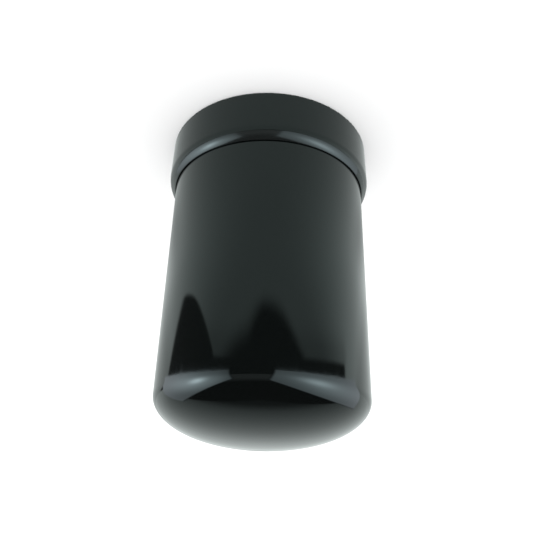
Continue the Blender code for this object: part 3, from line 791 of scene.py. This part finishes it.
def float_spring(finish):
    """Round-wire spring at one length; the real one shortens at its cup end as the carriage goes
    in.
    """
    low = CUP_REAR + GAP + SPRING_WIRE
    high = SEAT_BOTTOM - GAP - SPRING_WIRE
    last_side = math.tau * (1 - 1 / SPRING_SIDES)
    bm = bmesh.new()
    rings = []
    for step in range(round(SPRING_TURNS * SPRING_STEPS) + 1):
        center_z = spring_height(step / SPRING_STEPS, low, high)
        section = circle_arc(SPRING_RADIUS, center_z, SPRING_WIRE, 0.0, last_side, SPRING_SIDES - 1)
        spin = Matrix.Rotation(math.tau * step / SPRING_STEPS, 3, "Z")
        rings.append([bm.verts.new(spin @ Vector((r, 0.0, z))) for r, z in section])
    for here, there in zip(rings, rings[1:]):
        for side in range(SPRING_SIDES):
            after = (side + 1) % SPRING_SIDES
            bm.faces.new((here[side], there[side], there[after], here[after]))
    bm.faces.new(rings[0])
    bm.faces.new(rings[-1])
    bmesh.ops.recalc_face_normals(bm, faces=bm.faces)
    spring = finish_piece(new_object("coil_spring", bm), finish, "canister", "float_spring")
    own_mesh(spring)


def radial_place(azimuth):
    """Turn +Z outwards along the radius at an azimuth, at the height of the cup screws."""
    outwards = Matrix.Rotation(azimuth, 4, "Z") @ Matrix.Rotation(math.pi / 2, 4, "Y")
    return Matrix.Translation((0.0, 0.0, SCREW_Z)) @ outwards


def cut_screw_holes(obj):
    inner = CUP_INNER_RADIUS - 2 * OVERCUT
    for azimuth in FACE_AZIMUTHS:
        hole = cylinder(SCREW_RADIUS + GAP, inner, CELL_RADIUS + OVERCUT, HOLE_SEGMENTS)
        combine(obj, "DIFFERENCE", hole, radial_place(azimuth))


def prism_cell(finish):
    """Tube that holds the glass behind an inner front flange."""
    band_top = CELL_BAND_Z + BAND_GROOVE_WIDTH
    outline = [
        (CELL_APERTURE + CELL_APERTURE_FLARE, CELL_FRONT, FINE_EDGE),
        (CELL_RADIUS, CELL_FRONT, EDGE),
        (CELL_RADIUS, CELL_BAND_Z, FINE_EDGE),
        (BAND_GROOVE_RADIUS, CELL_BAND_Z),
        (BAND_GROOVE_RADIUS, band_top),
        (CELL_RADIUS, band_top, FINE_EDGE),
        (CELL_RADIUS, CELL_TOP, EDGE),
        (CELL_BORE, CELL_TOP, FINE_EDGE),
        (CELL_BORE, CELL_FLANGE_TOP),
        (CELL_APERTURE, CELL_FLANGE_TOP, FINE_EDGE),
        (CELL_APERTURE, CELL_FRONT + CELL_APERTURE_LAND, FINE_EDGE),
    ]
    cell = new_object("glass_cell", turned_plain(outline))
    cut_screw_holes(cell)
    finish_piece(cell, finish, "carriage", "prism_cell")


def glass_seat_ring(finish):
    low, high = bottom("glass_seat_ring"), top("glass_seat_ring")
    shape = turned_band(GLASS_SEAT_INNER, CELL_BORE - GAP, low, high)
    finish_piece(new_object("glass_seat", shape), finish, "carriage", "glass_seat_ring")


def cube_corner(bm, apex):
    """Cut a rod back to three faces at right angles that meet at apex."""
    for azimuth in FACE_AZIMUTHS:
        normal = Vector((FACE_FALL * math.cos(azimuth), FACE_FALL * math.sin(azimuth), 1.0))
        cut = bmesh.ops.bisect_plane(
            bm,
            geom=bm.verts[:] + bm.edges[:] + bm.faces[:],
            dist=MERGE_DISTANCE,
            plane_co=(0.0, 0.0, apex),
            plane_no=normal.normalized(),
            clear_outer=True,
        )
        edges = [item for item in cut["geom_cut"] if isinstance(item, bmesh.types.BMEdge)]
        bmesh.ops.contextual_create(bm, geom=edges)
    bmesh.ops.recalc_face_normals(bm, faces=bm.faces)


def corner_cube_prism(finish):
    """Round glass rod, cut back to the three rear faces."""
    blank_top = APEX + OVERCUT
    outline = [
        (0.0, GLASS_FRONT),
        (GLASS_RADIUS - GLASS_CHAMFER, GLASS_FRONT),
        (GLASS_RADIUS, GLASS_FRONT + GLASS_CHAMFER),
        (GLASS_RADIUS, blank_top),
        (0.0, blank_top),
    ]
    bm = turned_plain(outline)
    cube_corner(bm, APEX)
    finish_piece(new_object("glass", bm), finish, "carriage", "corner_cube_prism")


def cube_shell(radius, low, apex):
    """A rod whose far end is three faces at right angles that meet at apex."""
    bm = cylinder(radius, low, APEX + 2 * OVERCUT, SEGMENTS)
    cube_corner(bm, apex)
    return bm


def silver_film(finish):
    """The mirror coating: a thin skin on the three rear faces, which stops at the rim."""
    normal_rise = math.sqrt(1.0 + FACE_FALL**2)
    inner_apex = APEX + FILM_GAP * normal_rise
    outer_apex = inner_apex + FILM_THICKNESS * normal_rise
    radius = GLASS_RADIUS - FILM_INSET
    film = new_object("silvered_faces", cube_shell(radius, FILM_START, outer_apex))
    combine(film, "DIFFERENCE", cube_shell(radius + OVERCUT, GLASS_FRONT, inner_apex))
    finish_piece(film, finish, "carriage")


def ridge_frame(azimuth):
    """A frame on a ridge of the glass: +Z down along the ridge, +Y out of it, +X across it."""
    fall = math.atan(RIDGE_FALL)
    along = Vector((math.cos(fall), 0.0, -math.sin(fall)))
    out = Vector((math.sin(fall), 0.0, math.cos(fall)))
    turn = Matrix((out.cross(along), out, along)).transposed().to_4x4()
    return Matrix.Rotation(azimuth, 4, "Z") @ Matrix.Translation((0.0, 0.0, APEX)) @ turn


def edge_saddle(number, azimuth, finish):
    """Rubber block, notched at a right angle, that sits on one ridge of the glass."""
    notch, half = SADDLE_NOTCH, SADDLE_HALF_WIDTH
    outline = [(-half, -notch), (-notch, -notch), (0.0, 0.0), (notch, -notch), (half, -notch)]
    outline += [(half, SADDLE_DEPTH), (-half, SADDLE_DEPTH)]
    lift = GAP * math.sqrt(2.0)
    start = SADDLE_RADIUS / math.cos(math.atan(RIDGE_FALL)) - SADDLE_LENGTH / 2
    place = ridge_frame(azimuth) @ Matrix.Translation((0.0, lift, start))
    saddle = new_object(f"saddle_{number}", extruded(outline, SADDLE_LENGTH), place)
    bevel(saddle, SADDLE_EDGE)
    finish_piece(saddle, finish, "carriage", f"edge_saddle_{number}")


def cup_rib():
    """A fin inside the back cup that presses on one saddle, in the plane of +X and +Z."""
    fall = math.atan(RIDGE_FALL)
    clearance = GAP * math.sqrt(2.0) + SADDLE_DEPTH + GAP

    def underside(radius):
        return APEX + clearance / math.cos(fall) - RIDGE_FALL * radius

    outline = [
        (RIB_INNER_RADIUS, underside(RIB_INNER_RADIUS)),
        (RIB_WALL_RADIUS, underside(RIB_WALL_RADIUS)),
        (RIB_WALL_RADIUS, RIB_WALL_TOP),
        RIB_SLOPE_TOP,
        (RIB_INNER_RADIUS, RIB_INNER_TOP),
    ]
    return extruded(outline, RIB_THICKNESS)


def back_cup(finish):
    """Cover over the silvered faces: spigot, band groove, rounded rear, spring pilot, stem boss."""
    band_top = CUP_BAND_Z + BAND_GROOVE_WIDTH
    center_r, center_z = CELL_RADIUS - CUP_EDGE_RADIUS, CUP_REAR - CUP_EDGE_RADIUS
    edge = circle_arc(center_r, center_z, CUP_EDGE_RADIUS, 0.0, math.pi / 2, CUP_EDGE_STEPS)
    spigot = CELL_BORE - GAP
    outline = [
        (CUP_INNER_RADIUS, CUP_BOTTOM, FINE_EDGE),
        (spigot, CUP_BOTTOM, EDGE),
        (spigot, CELL_TOP + GAP),
        (CELL_RADIUS, CELL_TOP + GAP, FINE_EDGE),
        (CELL_RADIUS, CUP_BAND_Z, FINE_EDGE),
        (BAND_GROOVE_RADIUS, CUP_BAND_Z),
        (BAND_GROOVE_RADIUS, band_top),
        (CELL_RADIUS, band_top, FINE_EDGE),
        *edge,
        (PILOT_OUTER, CUP_REAR, FINE_EDGE),
        (PILOT_OUTER, CUP_REAR + PILOT_HEIGHT, EDGE),
        (PILOT_INNER, CUP_REAR + PILOT_HEIGHT, FINE_EDGE),
        (PILOT_INNER, CUP_REAR, EDGE),
        (STEM_BOSS_RADIUS, CUP_REAR, EDGE),
        (STEM_BOSS_RADIUS, STEM_BOSS_TOP, EDGE),
        (STEM_RADIUS + GAP, STEM_BOSS_TOP, FINE_EDGE),
        (STEM_RADIUS + GAP, CUP_FLOOR, FINE_EDGE),
        (CUP_FLOOR_RADIUS, CUP_FLOOR, CUP_FLOOR_FILLET),
        (CUP_INNER_RADIUS, CUP_FLOOR - CUP_FLOOR_DROP, CUP_FLOOR_FILLET),
    ]
    cup = new_object("rear_cup", turned_plain(outline))
    halfway = Matrix.Translation((0.0, 0.0, -RIB_THICKNESS / 2))
    stand = Matrix.Rotation(math.pi / 2, 4, "X") @ halfway
    for azimuth in RIDGE_AZIMUTHS:
        combine(cup, "UNION", cup_rib(), Matrix.Rotation(azimuth, 4, "Z") @ stand)
    cut_screw_holes(cup)
    finish_piece(cup, finish, "carriage", "back_cup")


def cup_screw(number, azimuth, finish):
    """Flush socket set screw through the cell's wall into the back cup."""
    inner, outer = CUP_INNER_RADIUS - SCREW_TIP, CELL_RADIUS - GAP
    outline = [
        (0.0, inner),
        (SCREW_RADIUS, inner, GAP),
        (SCREW_RADIUS, outer, FINE_EDGE),
        (0.0, outer),
    ]
    shape = turned_plain(outline, SCREW_SEGMENTS)
    screw = new_object(f"set_screw_{number}", shape, radial_place(azimuth))
    socket = cylinder(SOCKET_RADIUS, outer - SOCKET_DEPTH, outer + OVERCUT, 6)
    combine(screw, "DIFFERENCE", socket, radial_place(azimuth))
    finish_piece(screw, finish, "carriage", f"cup_screw_{number}")


def glide_band(name, node, finish):
    inner, outer = BAND_GROOVE_RADIUS + GAP, CELL_RADIUS + GAP
    shape = turned_band(inner, outer, bottom(node), top(node))
    finish_piece(new_object(name, shape), finish, "carriage", node)


def guide_stem(finish):
    low = bottom("guide_stem")
    outline = [
        (0.0, low),
        (STEM_RADIUS, low, STEM_CHAMFER),
        (STEM_RADIUS, STEM_TOP, STEM_CHAMFER),
        (0.0, STEM_TOP),
    ]
    shape = turned_plain(outline, SMALL_SEGMENTS)
    finish_piece(new_object("stem", shape), finish, "carriage", "guide_stem")


def stem_nut(finish):
    """Hexagon jam nut: its corners are turned down at both ends, as a real nut's are."""
    low, high = bottom("stem_nut"), top("stem_nut")
    corner = NUT_ACROSS / math.sqrt(3.0)
    nut = new_object("jam_nut", cylinder(corner, low, high, 6))
    edge, past_corner = corner - NUT_CHAMFER, corner + NUT_OVERCUT
    turned_down = [
        (STEM_RADIUS + GAP, low, GAP),
        (edge, low),
        (past_corner, low + NUT_CHAMFER / 2),
        (past_corner, high - NUT_CHAMFER / 2),
        (edge, high),
        (STEM_RADIUS + GAP, high, GAP),
    ]
    combine(nut, "INTERSECT", turned_plain(turned_down, SMALL_SEGMENTS))
    finish_piece(nut, finish, "carriage", "stem_nut")


def stem_bumper(finish):
    """Rubber cap on the stem's end, the stop that meets the dome."""
    outline = [
        (STEM_RADIUS + GAP, BUMPER_BOTTOM, FINE_EDGE),
        (BUMPER_RADIUS, BUMPER_BOTTOM, EDGE),
        (BUMPER_RADIUS, BUMPER_TOP, BUMPER_CORNER),
        (0.0, BUMPER_TOP),
        (0.0, STEM_TOP + GAP),
        (STEM_RADIUS + GAP, STEM_TOP + GAP),
    ]
    shape = turned_plain(outline, SMALL_SEGMENTS)
    finish_piece(new_object("bumper", shape), finish, "carriage", "stem_bumper")


def pieces():
    gloss, rubber, glass = gloss_black_plastic(), black_rubber(), prism_glass()
    anodised, ptfe, acetal = black_anodised(), white_ptfe(), grey_acetal()
    bright, hardened = bright_steel(), spring_steel()
    front_ring(gloss)
    front_gasket(rubber)
    ring_seal(rubber)
    canister_shell(gloss)
    snap_ring(hardened)
    spring_seat(anodised)
    seat_bush(acetal)
    rear_buffer(rubber)
    float_spring(hardened)
    prism_cell(anodised)
    glass_seat_ring(ptfe)
    corner_cube_prism(glass)
    silver_film(silvering())
    back_cup(anodised)
    guide_stem(bright)
    stem_nut(bright)
    stem_bumper(rubber)
    glide_band("band_front", "glide_band_front", ptfe)
    glide_band("band_rear", "glide_band_rear", ptfe)
    for number, (ridge, face) in enumerate(zip(RIDGE_AZIMUTHS, FACE_AZIMUTHS), 1):
        edge_saddle(number, ridge, rubber)
        cup_screw(number, face, bright)


# Studio ------------------------------------------------------------------------------------------

CAMERA_LENS = 39.30
CAMERA_SPOT = Vector((-0.00011, -0.19343, 0.14541))
CAMERA_TARGET = Vector((-0.00011, 0.0, 0.04897))
CAMERA_ROLL = math.pi + 0.0293

FLOOR_DROP = 0.0001
FLOOR_HOLE = 0.0376
FLOOR_RINGS = (FLOOR_HOLE, 0.2, 1.0, 12.0)
FLOOR_SEGMENTS = 128
FLOOR_COLOR = (0.90, 0.90, 0.90)
DARK_FLOOR = 0.07
AMBIENT = 1.50
BACKDROP = (0.985, 0.99, 0.985)
REFLECTED_TINT = (0.93, 1.0, 0.985)

# The bright sweep behind: (sine of the angle up from the object's back, round the X axis; tone).
SWEEP_STRENGTH = 1.2
SWEEP = (
    (0.0, 0.96), (0.30, 0.93), (0.45, 0.83), (0.55, 0.73), (0.70, 0.62), (0.80, 0.54),
    (0.87, 0.46), (0.92, 0.38), (0.945, 0.28), (0.97, 0.17), (0.985, 0.09),
)

CARD_FOOT = 0.01
CARD_DISTANCE = 0.338
CARD_COLOR = (0.92, 0.98, 1.05)
CARD_COLUMNS, CARD_ROWS = 72, 40


def camera():
    data = bpy.data.cameras.new("camera")
    data.lens = CAMERA_LENS
    made = bpy.data.objects.new("camera", data)
    bpy.context.scene.collection.objects.link(made)
    aim = (CAMERA_TARGET - CAMERA_SPOT).to_track_quat("-Z", "Y").to_matrix().to_4x4()
    made.matrix_world = Matrix.Translation(CAMERA_SPOT) @ aim @ Matrix.Rotation(CAMERA_ROLL, 4, "Z")
    bpy.context.scene.camera = made


def painted_floor_light(made, x, y):
    """How bright the floor looks in the gloss.

    It is painted as light that it gives off: a painted pool of light beside the object, under the
    side lights, painted shade in front of it and a painted shadow close behind it. It is painted
    dark past its front edge, past a corner on the +X side, and past its rim.
    """
    far = made.math("SQRT", made.math("ADD", made.product(x, x), made.product(y, y)))
    # Painted pool of light beside the object, under the side lights.
    glow = made.product(
        made.between(made.math("ABSOLUTE", x), 0.01, 0.14),
        made.between(y, -0.19, 0.02),
        made.between(y, 0.07, 0.15, 1.0, 0.55),
        made.between(x, -0.05, 0.05, 0.74, 0.56),
    )
    # Painted shade on the floor far in front of the object.
    away = made.product(made.between(far, 0.22, 0.33), made.between(y, 0.02, -0.03))
    # Painted shadow on the floor close behind the object.
    close = made.product(made.between(far, 0.17, 0.06), made.between(y, 0.0, 0.05))
    lit = made.product(
        made.math("ADD", glow, 0.60),
        made.between(away, 0.0, 1.0, 1.0, 0.75),
        made.between(close, 0.0, 1.0, 1.0, 0.70),
    )
    # Painted dark past the front edge, past a corner on the +X side and past the rim.
    left_part = made.between(x, -0.02, -0.20, -0.192, -0.226)
    front_edge = made.math("ADD", left_part, made.between(x, 0.03, 0.10, 0.0, -0.010))
    past_edge = made.math("SUBTRACT", front_edge, y)
    front = made.math("DIVIDE", past_edge, made.between(x, 0.0, 0.08, 0.056, 0.120))
    corner = made.product(
        made.between(made.math("ADD", x, made.product(y, 0.34)), 0.166, 0.182),
        made.between(made.math("ADD", y, made.product(x, -0.78)), -0.130, -0.170),
        made.between(x, 0.186, 0.200, 0.0, 0.945),
    )
    rim = made.product(made.between(far, 0.318, 0.345), made.between(y, 0.0, -0.03))
    dark = made.math("MAXIMUM", made.math("MAXIMUM", made.between(front, 0.0, 1.0), corner), rim)
    return made.between(dark, 0.0, 1.0, 1.0, 0.0), lit


def floor_material():
    """Pale and matte. In the gloss it shows painted_floor_light's painted light and shade; from
    below it's clear.
    """
    made = Finish("pale_floor", Roughness=0.9, Specular_IOR_Level=0.0, Base_Color=FLOOR_COLOR)
    geometry = made.node("ShaderNodeNewGeometry")
    path = made.node("ShaderNodeLightPath")
    place = made.node("ShaderNodeSeparateXYZ", Vector=geometry.outputs["Position"])
    shown, lit = painted_floor_light(made, place.outputs["X"], place.outputs["Y"])
    tone = made.product(shown, made.math("SUBTRACT", lit, DARK_FLOOR))
    # The floor gives off its painted light and shade to glossy rays.
    glow = made.shine(REFLECTED_TINT, made.math("ADD", tone, DARK_FLOOR))
    seen = made.mixed(path.outputs["Is Glossy Ray"], made.shader.outputs[0], glow)
    clear = made.node("ShaderNodeBsdfTransparent").outputs[0]
    made.show(made.mixed(geometry.outputs["Backfacing"], seen, clear))
    return made.material


def floor():
    """A pale sweep. Its hole is under the ring, so that the object can be looked at from below."""
    bm = bmesh.new()
    columns = []
    for step in range(FLOOR_SEGMENTS):
        spin = Matrix.Rotation(math.tau * step / FLOOR_SEGMENTS, 3, "Z")
        columns.append([bm.verts.new(spin @ Vector((r, 0.0, -FLOOR_DROP))) for r in FLOOR_RINGS])
    for left, right in zip(columns, columns[1:] + columns[:1]):
        for low in range(len(FLOOR_RINGS) - 1):
            bm.faces.new((left[low], left[low + 1], right[low + 1], right[low]))
    made = new_object("floor", bm)
    made.data.materials.append(floor_material())


def smooth(value, start, end):
    t = min(max((value - start) / (end - start), 0.0), 1.0)
    return t * t * (3 - 2 * t)


def light_card(name, ends, leans, tall, peak, glow_at):
    """A tall curved light beside the object, seen only in reflections.

    Its angles are azimuths in degrees. Its top edge is highest at the azimuth peak, and each end
    leans by its own angle from foot to top.
    """
    bm = bmesh.new()
    layer = bm.verts.layers.float.new("glow")
    grid = []
    for row in range(CARD_ROWS + 1):
        share = row / CARD_ROWS
        start, end = (foot + lean * share for foot, lean in zip(ends, leans))
        line = []
        for column in range(CARD_COLUMNS + 1):
            degrees = start + (end - start) * column / CARD_COLUMNS
            azimuth = math.radians(degrees)
            top_edge = tall * math.cos(azimuth - math.radians(peak))
            height = CARD_FOOT + (top_edge - CARD_FOOT) * share
            spot = (CARD_DISTANCE * math.sin(azimuth), -CARD_DISTANCE * math.cos(azimuth), height)
            corner = bm.verts.new(spot)
            corner[layer] = glow_at(column / CARD_COLUMNS, share, degrees)
            line.append(corner)
        grid.append(line)
    for low, high in zip(grid, grid[1:]):
        for left in range(CARD_COLUMNS):
            bm.faces.new((low[left], low[left + 1], high[left + 1], high[left]))
    card = new_object(name, bm)
    made = Finish(name)
    attribute = made.node("ShaderNodeAttribute")
    attribute.attribute_name = "glow"
    made.show(made.shine(CARD_COLOR, attribute.outputs["Fac"]))
    card.data.materials.append(made.material)
    card.visible_camera = False
    card.visible_diffuse = False
    card.visible_shadow = False


def left_glow(column, share, degrees):
    """Brightness of the light on -X: wide and even, with a streak in front of the object's side."""
    streak = math.exp(-(((degrees + 54) / 18) ** 2) - ((share - 0.34) / 0.14) ** 2)
    hot = math.exp(-(((degrees + 70) / 42) ** 2) - ((share - 0.40) / 0.38) ** 2)
    return (1.1 + 1.8 * hot + 3.0 * streak) * smooth(column, 0.0, 0.03) * smooth(share, 1.0, 0.95)


def right_glow(column, share, degrees):
    """Brightness of the light on +X: a small bright streak in a hot spot that leans backwards."""
    streak = math.exp(-(((degrees - 65) / 9) ** 2) - ((share - 0.40) / 0.13) ** 2)
    middle = 0.45 - 0.006 * (degrees - 68)
    hot = math.exp(-(((degrees - 72) / 30) ** 2) - ((share - middle) / 0.42) ** 2)
    base = 0.7 + 0.35 * smooth(degrees, 28.0, 45.0)
    return (base + 3.2 * hot + 5.2 * streak) * smooth(column, 0.0, 0.03) * smooth(share, 1.0, 0.94)


def world():
    """Even white light for matte surfaces; in the gloss, a bright sweep behind, dark elsewhere."""
    made = bpy.data.worlds.new("studio")
    bpy.context.scene.world = made
    made.use_nodes = True
    made.node_tree.nodes.clear()
    sky = Nodes(made.node_tree)
    path = sky.node("ShaderNodeLightPath")
    coordinates = sky.node("ShaderNodeTexCoord")
    x, y, z = sky.node("ShaderNodeSeparateXYZ", Vector=coordinates.outputs["Generated"]).outputs

    def turned_part(wanted, **parts):
        """One part of the direction, once it is laid in a plane and made one unit long."""
        flat = sky.node("ShaderNodeCombineXYZ", **parts).outputs[0]
        unit = sky.vector_math("NORMALIZE", flat).outputs[0]
        return sky.node("ShaderNodeSeparateXYZ", Vector=unit).outputs[wanted]

    def background(color, strength=1.0):
        return sky.node("ShaderNodeBackground", Color=color, Strength=strength).outputs[0]

    sweep = sky.node("ShaderNodeValToRGB", Fac=turned_part("Z", Y=y, Z=z))
    elements = sweep.color_ramp.elements
    elements.remove(elements[1])
    for index, (position, tone) in enumerate(SWEEP):
        element = elements.new(position) if index else elements[0]
        element.color = (*[tone * share for share in REFLECTED_TINT], 1.0)

    # In front: a faint glow low down, seen in the gaps between the side lights.
    fade = {"From_Min": 0.30, "From_Max": 0.55, "To_Min": 0.28, "To_Max": 0.05}
    in_front = background(sky.node("ShaderNodeMapRange", Value=z, **fade).outputs["Result"])
    behind = sky.between(turned_part("Y", X=x, Y=y), 0.34, 0.42)
    room = sky.mixed(behind, in_front, background(sweep.outputs[0], SWEEP_STRENGTH))
    lit = sky.mixed(path.outputs["Is Diffuse Ray"], room, background((1.0, 1.0, 1.0), AMBIENT))
    shown = sky.mixed(path.outputs["Is Camera Ray"], lit, background(BACKDROP))
    sky.node("ShaderNodeOutputWorld", Surface=shown)


def studio():
    camera()
    floor()
    light_card("light_left", (-10.0, -104.0), (5.0, -22.0), 0.505, -67.0, left_glow)
    light_card("light_right", (31.0, 115.0), (-3.0, 0.0), 0.412, 88.0, right_glow)
    world()
    bpy.context.scene.view_settings.view_transform = "Standard"


pieces()
studio()
